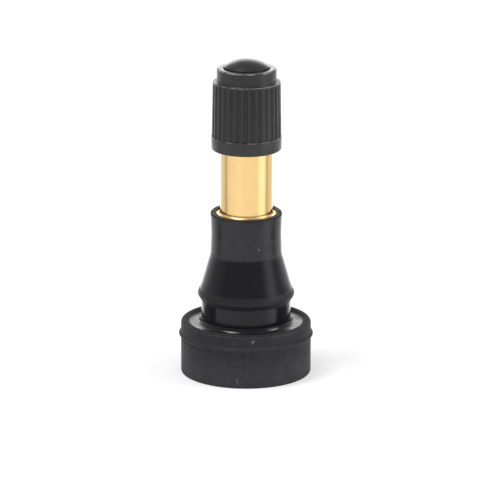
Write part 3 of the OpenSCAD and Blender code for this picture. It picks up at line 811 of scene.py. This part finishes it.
class TYREVALVE_OT_stage(bpy.types.Operator):
    """Set up the camera, the soft studio light and the pale floor"""

    bl_idname = "tyre_valve.make_stage"
    bl_label = "Stage"

    def execute(self, context):
        stage = context.scene.tyre_valve_stage
        self.add_camera(context, stage)
        self.add_lamp(context, "key", stage.key_at, stage.key_size, stage.key_power)
        self.add_lamp(context, "side", stage.side_at, stage.side_size, stage.side_power)
        self.light_room(context, stage)
        self.add_floor(context, stage)
        self.add_cards(context, stage)
        context.scene.view_settings.view_transform = "Standard"
        return {"FINISHED"}

    def add_camera(self, context, stage):
        """Sets up the camera, tilted down at the object."""
        camera = bpy.data.objects.new("camera", bpy.data.cameras.new("camera"))
        camera.data.lens = stage.lens
        camera.data.sensor_width = 36.0
        camera.data.clip_start = 0.01
        camera.location = stage.camera_at
        level = Matrix.Rotation(stage.camera_tilt, 3, "X")
        camera.rotation_euler = (level @ Matrix.Rotation(stage.camera_roll, 3, "Z")).to_euler()
        context.scene.collection.objects.link(camera)
        context.scene.camera = camera

    def add_lamp(self, context, name, at, size, watts):
        """Hangs a square soft lamp that faces the object."""
        light = bpy.data.lights.new(name, "AREA")
        light.size = size
        light.energy = watts
        lamp = bpy.data.objects.new(name, light)
        lamp.location = at
        lamp.rotation_euler = (-Vector(at)).to_track_quat("-Z", "Y").to_euler()
        context.scene.collection.objects.link(lamp)

    def light_room(self, context, stage):
        """White all round for the camera, even light on the object, and a studio for its reflections."""
        room = bpy.data.worlds.new("studio")
        context.scene.world = room
        room.use_nodes = True
        room.cycles.sampling_method = "NONE"
        tree = room.node_tree
        heading = add_node(tree, "ShaderNodeTexCoord").outputs["Generated"]
        axes = add_node(tree, "ShaderNodeSeparateXYZ", {"Vector": heading}).outputs
        from_front = combine(tree, "ARCTAN2", axes["X"], combine(tree, "MULTIPLY", axes["Y"], -1.0))
        round_turn = add_node(
            tree, "ShaderNodeMapRange",
            {"Value": from_front, "From Min": -math.pi, "From Max": math.pi},
        ).outputs["Result"]
        low_ring = self.ring_of_light(tree, round_turn, LOW_RING)
        high_ring = self.ring_of_light(tree, round_turn, HIGH_RING)
        overhead = between(tree, axes["Z"], *OVERHEAD_RANGE)
        above = blend_colours(tree, overhead, high_ring, grey(OVERHEAD_LIGHT))
        studio = blend_colours(tree, between(tree, axes["Z"], *HIGH_RING_RANGE), low_ring, above)
        path = add_node(tree, "ShaderNodeLightPath").outputs
        seen = combine(tree, "ADD", path["Is Camera Ray"], path["Is Transmission Ray"])
        even = blend_colours(tree, seen, grey(stage.fill), grey(1.0))
        light = blend_colours(tree, path["Is Glossy Ray"], even, studio)
        set_inputs(tree, tree.nodes["Background"], {"Color": light})

    def ring_of_light(self, tree, round_turn, stops):
        """Brightness round the object, by degrees from the front towards the right."""
        ramp = add_node(tree, "ShaderNodeValToRGB", {"Fac": round_turn})
        elements = ramp.color_ramp.elements
        elements.remove(elements[1])
        for number, (degrees, brightness) in enumerate(stops):
            element = elements.new((degrees + 180.0) / 360.0) if number else elements[0]
            element.color = grey(brightness)
        return ramp.outputs["Color"]

    def new_surface(self, name):
        """A new material with no shader yet, and its node tree."""
        material = bpy.data.materials.new(name)
        material.use_nodes = True
        tree = material.node_tree
        tree.nodes.remove(tree.nodes["Principled BSDF"])
        return material, tree

    def lay_sheet(self, context, bm, name, material):
        """Turns a flat bmesh into an object."""
        mesh = bpy.data.meshes.new(name)
        bm.to_mesh(mesh)
        bm.free()
        mesh.materials.append(material)
        sheet = bpy.data.objects.new(name, mesh)
        context.scene.collection.objects.link(sheet)
        return sheet

    def add_floor(self, context, stage):
        """Lays the floor, which is seen as white with a soft shadow on it."""
        material, tree = self.new_surface("pale_floor")
        plain = add_node(tree, "ShaderNodeBsdfDiffuse", {"Color": grey(stage.floor_plain)})
        shaded = add_node(tree, "ShaderNodeBsdfDiffuse", {"Color": grey(stage.floor_seen)})
        glow = add_node(tree, "ShaderNodeEmission", {"Strength": stage.floor_glow})
        white = add_node(
            tree, "ShaderNodeAddShader", {0: shaded.outputs["BSDF"], 1: glow.outputs["Emission"]}
        )
        path = add_node(tree, "ShaderNodeLightPath").outputs
        seen = combine(tree, "ADD", path["Is Camera Ray"], path["Is Glossy Ray"])
        seen = combine(tree, "ADD", seen, path["Is Transmission Ray"])
        mixed = add_node(
            tree, "ShaderNodeMixShader",
            {0: seen, 1: plain.outputs["BSDF"], 2: white.outputs["Shader"]},
        )
        set_inputs(tree, tree.nodes["Material Output"], {"Surface": mixed.outputs["Shader"]})
        bm = bmesh.new()
        bmesh.ops.create_grid(bm, x_segments=1, y_segments=1, size=stage.floor_size / 2)
        floor = self.lay_sheet(context, bm, "floor", material)
        floor.visible_glossy = False

    def add_cards(self, context, stage):
        """Lays dark cards on the floor at each side, and a disc of painted shade under the base, which only
        reflections see.
        """
        material, tree = self.new_surface("dark_card")
        black = add_node(tree, "ShaderNodeEmission", {"Color": grey(stage.card_shade)})
        set_inputs(tree, tree.nodes["Material Output"], {"Surface": black.outputs["Emission"]})
        bm = bmesh.new()
        # The disc is painted shade: it puts the base's own contact shade into reflections
        bmesh.ops.create_circle(bm, cap_ends=True, segments=SPOT_STEPS, radius=stage.contact_r)
        for side in (-1.0, 1.0):
            corners = [
                (side * stage.card_near, -stage.card_front, 0.0),
                (side * stage.card_far, -stage.card_front, 0.0),
                (side * stage.card_far, stage.card_back, 0.0),
                (side * stage.card_near, stage.card_back, 0.0),
            ]
            bmesh.ops.contextual_create(bm, geom=[bm.verts.new(corner) for corner in corners])
        cards = self.lay_sheet(context, bm, "dark_cards_and_contact_shade", material)
        cards.visible_camera = False
        cards.visible_diffuse = False
        cards.visible_transmission = False
        cards.visible_shadow = False


class TYREVALVE_OT_rubber_body(bpy.types.Operator):
    """Mould the rubber body round the stem"""

    bl_idname = "tyre_valve.make_rubber_body"
    bl_label = "Rubber Body"

    def execute(self, context):
        rubber = context.scene.tyre_valve_rubber
        stem = context.scene.tyre_valve_stem
        base_r = rubber.base_d / 2
        groove_r = rubber.groove_d / 2
        neck_r = rubber.neck_d / 2
        hole_r = rubber.air_hole_d / 2
        lip_r = base_r - rubber.lip_w
        dish_z, bulb_z, crest_z, cone_z, neck_z = rubber_levels(rubber)
        outside = [
            (hole_r + rubber.air_sink, 0.0, 0.0),
            (base_r, 0.0, rubber.base_edge_r),
            (base_r, rubber.ridge_z - rubber.ridge_h / 2, 0.0),
            (base_r + rubber.ridge_out, rubber.ridge_z, rubber.ridge_edge_r),
            (base_r, rubber.ridge_z + rubber.ridge_h / 2, 0.0),
            (base_r, rubber.base_h, rubber.lip_edge_r),
            (lip_r, rubber.base_h, rubber.lip_edge_r),
            (lip_r - rubber.dish_slope_w, dish_z, rubber.lip_edge_r),
            (groove_r, dish_z, rubber.groove_fillet),
            (groove_r, bulb_z, rubber.bulb_fillet),
            (rubber.bulb_d / 2, crest_z, rubber.bulb_edge_r),
            (rubber.cone_d / 2, cone_z, rubber.bulb_edge_r),
            (neck_r, neck_z, rubber.neck_foot_r),
            (neck_r - rubber.neck_waist, (neck_z + LIP_Z) / 2, rubber.neck_waist_r),
            (neck_r, LIP_Z, rubber.neck_edge_r),
            (stem.collar_d / 2, LIP_Z, rubber.neck_edge_r),
        ]
        air_hole = [(hole_r, FOOT_Z, 0.0), (hole_r, rubber.air_sink, 0.0)]
        bm = bmesh.new()
        turn(bm, outside + stem_skin(stem)[::-1] + air_hole, TURN_STEPS)
        self.raise_flash(bm, rubber)
        make_piece(bm, "moulded_rubber", moulded_rubber(rubber), "valve", "rubber_body")
        return {"FINISHED"}

    def raise_flash(self, bm, rubber):
        """Leaves a thin ragged flash on the neck's top edge, which dies out towards the front."""
        for vertex in bm.verts:
            top = (vertex.co.z - LIP_Z) / rubber.neck_edge_r + 1.0
            if top > 0.0:
                around = Vector((vertex.co.x, vertex.co.y, 0.0)).normalized()
                teeth = FLASH_TEETH_SHARE * noise.noise(around * FLASH_TEETH)
                ragged = noise.noise(around * FLASH_WAVES) + teeth
                full = min(max(FLASH_FRONT + around.y, 0.0), 1.0)
                uneven = full * (FLASH_LEVEL + FLASH_SWING * ragged) + FLASH_STRAY * ragged
                vertex.co.z += rubber.flash_h * top * uneven


class TYREVALVE_OT_brass_stem(bpy.types.Operator):
    """Turn the brass stem and cut its thread"""

    bl_idname = "tyre_valve.make_brass_stem"
    bl_label = "Brass Stem"

    def execute(self, context):
        stem = context.scene.tyre_valve_stem
        stem_r = stem.stem_d / 2
        bore_r = stem.core_bore_d / 2
        chamber_r = stem.chamber_d / 2
        passage_r = stem.passage_d / 2
        thread_z = CAP_Z + stem.thread_start
        thread_top_z = MOUTH_Z - stem.stem_chamfer
        seat_top_z = MOUTH_Z - stem.core_thread_len - bore_r + stem.seat_d / 2
        seat_z = seat_top_z - stem.seat_h
        joint = stem.run_out * JOINT_SHARE
        bm = bmesh.new()
        cut_thread(
            bm, stem_r, stem_r - stem.thread_depth, stem.thread_pitch, stem.thread_flat,
            thread_z + joint, thread_top_z - joint, stem.run_out, MOUTH_Z,
        )
        barrel_foot = (stem_r, LIP_Z - stem.collar_drop, stem.collar_fillet)
        bore = [
            (passage_r, FOOT_Z, 0.0),
            (passage_r, stem.chamber_z - chamber_r + passage_r, 0.0),
            (chamber_r, stem.chamber_z, 0.0),
            (chamber_r, seat_z, 0.0),
            (stem.seat_d / 2, seat_top_z, 0.0),
            (bore_r, MOUTH_Z - stem.core_thread_len, 0.0),
            (bore_r, MOUTH_Z - stem.mouth_chamfer, 0.0),
            (bore_r + stem.mouth_chamfer, MOUTH_Z, 0.0),
            (stem_r - stem.stem_chamfer, MOUTH_Z, 0.0),
            (stem_r, thread_top_z, 0.0),
        ]
        below = [(stem_r, thread_z, 0.0), barrel_foot] + stem_skin(stem)[::-1]
        turn(bm, below + bore, TURN_STEPS, closed=False)
        bridge(bm, thread_z, thread_z + joint)
        bridge(bm, thread_top_z, thread_top_z - joint)
        make_piece(bm, "turned_stem", turned_brass(stem), "valve", "brass_stem")
        return {"FINISHED"}


class TYREVALVE_OT_cap_shell(bpy.types.Operator):
    """Mould the ribbed cap and its inner thread"""

    bl_idname = "tyre_valve.make_cap_shell"
    bl_label = "Cap Shell"

    def execute(self, context):
        cap = context.scene.tyre_valve_cap
        stem = context.scene.tyre_valve_stem
        bore_r = stem.stem_d / 2 + cap.clearance
        opening_r = cap.opening_d / 2
        collar_r = cap.collar_d / 2
        seat_r = cap.seal_seat_d / 2
        band_r = cap.band_d / 2
        rib_r = cap.rib_d / 2
        rib_top_r = rib_r - cap.rib_draft / 2
        band_top_z = CAP_Z + cap.band_h
        shoulder_z = CAP_TOP_Z - cap.collar_h
        lip_z = CAP_TOP_Z - cap.lip_t
        thread_z = CAP_Z + cap.entry
        joint = stem.run_out * JOINT_SHARE
        bm = bmesh.new()
        cut_thread(
            bm, bore_r, bore_r - cap.thread_depth, stem.thread_pitch, self.root_flat(cap, stem),
            thread_z + joint, MOUTH_Z - joint, stem.run_out, MOUTH_Z,
        )
        outline = [
            (bore_r, MOUTH_Z, 0.0),
            (seat_r, MOUTH_Z, 0.0),
            (seat_r, lip_z, 0.0),
            (opening_r, lip_z, 0.0),
            (opening_r, CAP_TOP_Z, cap.opening_edge_r),
            (collar_r, CAP_TOP_Z, cap.collar_edge_r),
            (collar_r, shoulder_z, cap.collar_fillet),
            (rib_top_r, shoulder_z, cap.shoulder_edge_r),
        ]
        for height in self.flute_rings(cap, shoulder_z - cap.flute_land):
            share_up = (height - band_top_z) / (shoulder_z - band_top_z)
            outline.append((rib_r + (rib_top_r - rib_r) * share_up, height, 0.0))
        outline += [
            (rib_r, band_top_z, 0.0),
            (band_r, band_top_z, cap.ledge_edge_r),
            (band_r, CAP_Z, cap.band_edge_r),
            (bore_r + cap.entry, CAP_Z, 0.0),
            (bore_r, thread_z, 0.0),
        ]
        turn(bm, outline, CAP_STEPS, closed=False)
        self.sink_flutes(bm, cap, band_top_z, shoulder_z - cap.flute_land)
        bridge(bm, thread_z, thread_z + joint)
        bridge(bm, MOUTH_Z, MOUTH_Z - joint)
        make_piece(
            bm, "ribbed_cap", satin_plastic(cap), "cap", "cap_shell", CAP_SHARP_ANGLE
        )
        return {"FINISHED"}

    def root_flat(self, cap, stem):
        """Width of the flat at the thread's bottom that leaves its crests as wide as the stem's."""
        return stem.thread_pitch - 2 * flank_height(cap.thread_depth) - stem.thread_flat

    def half_valley(self, cap):
        """Half the width of a valley between two ribs."""
        return (math.pi * cap.rib_d / cap.rib_count - cap.rib_w) / 2

    def flute_rings(self, cap, high):
        """Heights of the rings that shape the valleys' round upper ends, from the top to just below them."""
        drop = self.half_valley(cap) / VALLEY_STEPS
        return [high - drop * ring for ring in range(VALLEY_STEPS + 2)]

    def sink_flutes(self, bm, cap, low, high):
        """Sinks the valleys between the ribs into the cap's wall."""
        pitch = 2 * math.pi / cap.rib_count
        first_rib = cap.rib_turn - math.pi / 2
        half_width = self.half_valley(cap)
        wall_r = (cap.rib_d - cap.rib_draft) / 2
        for vertex in bm.verts:
            radius = vertex.co.xy.length
            if radius < wall_r - WELD or not low - WELD <= vertex.co.z <= high + WELD:
                continue
            if radius > cap.rib_d / 2 + WELD:
                continue
            angle = math.atan2(vertex.co.y, vertex.co.x) - first_rib
            across = abs(angle % pitch - pitch / 2) * cap.rib_d / 2
            past_end = max(half_width - (high - vertex.co.z), 0.0)
            inset = (half_width - math.hypot(across, past_end)) / cap.rib_wall
            inset = min(max(inset, 0.0), 1.0)
            depth = cap.rib_depth * inset * inset * (3.0 - 2.0 * inset)
            vertex.co.xy *= (radius - depth) / radius


class TYREVALVE_OT_cap_seal(bpy.types.Operator):
    """Mould the domed seal that closes the cap"""

    bl_idname = "tyre_valve.make_cap_seal"
    bl_label = "Cap Seal"

    def execute(self, context):
        seal = context.scene.tyre_valve_seal
        cap = context.scene.tyre_valve_cap
        flange_r = cap.seal_seat_d / 2 - seal.flange_gap
        flange_z = MOUTH_Z + seal.flange_t
        dome_r = cap.opening_d / 2 - seal.dome_gap
        rise = DOME_Z - CAP_TOP_Z - seal.dome_wall
        ball_r = (dome_r * dome_r + rise * rise) / (2 * rise)
        dome_half = math.asin(dome_r / ball_r)
        hollow_z = MOUTH_Z + seal.hollow_h
        dome = []
        for step in range(DOME_STEPS + 1):
            angle = dome_half * (1.0 - step / DOME_STEPS)
            dome.append((ball_r * math.sin(angle), DOME_Z - ball_r * (1.0 - math.cos(angle)), 0.0))
        outline = [
            (0.0, hollow_z, 0.0),
            (seal.hollow_d / 2, hollow_z, seal.hollow_h / 3),
            (seal.hollow_d / 2, MOUTH_Z, 0.0),
            (flange_r, MOUTH_Z, 0.0),
            (flange_r, flange_z, 0.0),
            (dome_r, flange_z, 0.0),
        ]
        bm = bmesh.new()
        turn(bm, outline + dome, TURN_STEPS, closed=False)
        material = soft_rubber("seal_rubber", seal.tint, seal.satin)
        make_piece(bm, "domed_seal", material, "cap_insert", "cap_seal")
        return {"FINISHED"}


class TYREVALVE_OT_valve_core(bpy.types.Operator):
    """Finish the valve core's pieces inside the stem"""

    bl_idname = "tyre_valve.finish_valve_core"
    bl_label = "Valve Core"

    def execute(self, context):
        core = context.scene.tyre_valve_core
        brass = core_metal("core_brass", core.brass, core.brass_satin)
        finishes = {
            "core_plug": brass,
            "core_barrel": brass,
            "core_pin": brass,
            "core_cup": brass,
            "core_barrel_washer": soft_rubber("barrel_washer", core.washer, core.washer_matt),
            "core_cup_washer": soft_rubber("cup_washer", core.cup_washer, core.cup_washer_matt),
        }
        for node, finish in finishes.items():
            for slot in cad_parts[node].material_slots:
                slot.material = finish
        return {"FINISHED"}


class TYREVALVE_OT_core_spring(bpy.types.Operator):
    """Wind the spring that holds the valve shut"""

    bl_idname = "tyre_valve.wind_core_spring"
    bl_label = "Core Spring"

    def execute(self, context):
        core = context.scene.tyre_valve_core
        foot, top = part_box("core_spring")
        height = top.z - foot.z
        wire_r = core.wire_d / 2
        open_turns = core.spring_turns - 2
        open_rise = (height - 3 * core.wire_d) / open_turns
        start = Matrix.Translation((top.x - wire_r, 0.0, foot.z + wire_r))
        bm = bmesh.new()
        bmesh.ops.create_circle(
            bm, cap_ends=True, segments=WIRE_STEPS, radius=wire_r,
            matrix=start @ Matrix.Rotation(math.pi / 2, 4, "X"),
        )
        end = bm.verts[:] + bm.edges[:] + bm.faces[:]
        for turns, rise in ((1, core.wire_d), (open_turns, open_rise), (1, core.wire_d)):
            wound = bmesh.ops.spin(
                bm, geom=end, cent=(0.0, 0.0, 0.0), axis=(0.0, 0.0, 1.0), angle=2 * math.pi * turns,
                steps=turns * COIL_STEPS, dvec=(0.0, 0.0, rise / COIL_STEPS), use_duplicate=False,
            )
            end = wound["geom_last"]
        wire = core_metal("spring_wire", core.steel, core.steel_satin)
        spring = make_piece(bm, "coil_spring", wire, "valve", "core_spring")
        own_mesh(spring)
        return {"FINISHED"}


class TYREVALVE_PT_pieces(bpy.types.Panel):
    """The valve's pieces, in the order in which they are made"""

    bl_idname = "TYREVALVE_PT_pieces"
    bl_label = "Tyre Valve"
    bl_space_type = "VIEW_3D"
    bl_region_type = "UI"
    bl_category = "Tyre Valve"

    def draw(self, context):
        for operator in OPERATORS:
            self.layout.operator(operator.bl_idname)
        for group in SETTINGS:
            box = self.layout.box()
            box.label(text=SETTINGS[group].__doc__)
            settings = getattr(context.scene, group)
            for setting in SETTINGS[group].__annotations__:
                box.prop(settings, setting)


OPERATORS = (
    TYREVALVE_OT_stage,
    TYREVALVE_OT_rubber_body,
    TYREVALVE_OT_brass_stem,
    TYREVALVE_OT_cap_shell,
    TYREVALVE_OT_cap_seal,
    TYREVALVE_OT_valve_core,
    TYREVALVE_OT_core_spring,
)


def register():
    for group, settings in SETTINGS.items():
        bpy.utils.register_class(settings)
        setattr(bpy.types.Scene, group, PointerProperty(type=settings))
    for operator in OPERATORS:
        bpy.utils.register_class(operator)
    bpy.utils.register_class(TYREVALVE_PT_pieces)


def unregister():
    bpy.utils.unregister_class(TYREVALVE_PT_pieces)
    for operator in reversed(OPERATORS):
        bpy.utils.unregister_class(operator)
    for group, settings in reversed(SETTINGS.items()):
        delattr(bpy.types.Scene, group)
        bpy.utils.unregister_class(settings)


def main():
    register()
    bpy.ops.tyre_valve.make_stage()
    bpy.ops.tyre_valve.make_rubber_body()
    bpy.ops.tyre_valve.make_brass_stem()
    bpy.ops.tyre_valve.make_cap_shell()
    bpy.ops.tyre_valve.make_cap_seal()
    bpy.ops.tyre_valve.finish_valve_core()
    bpy.ops.tyre_valve.wind_core_spring()


if __name__ == "__main__":
    main()
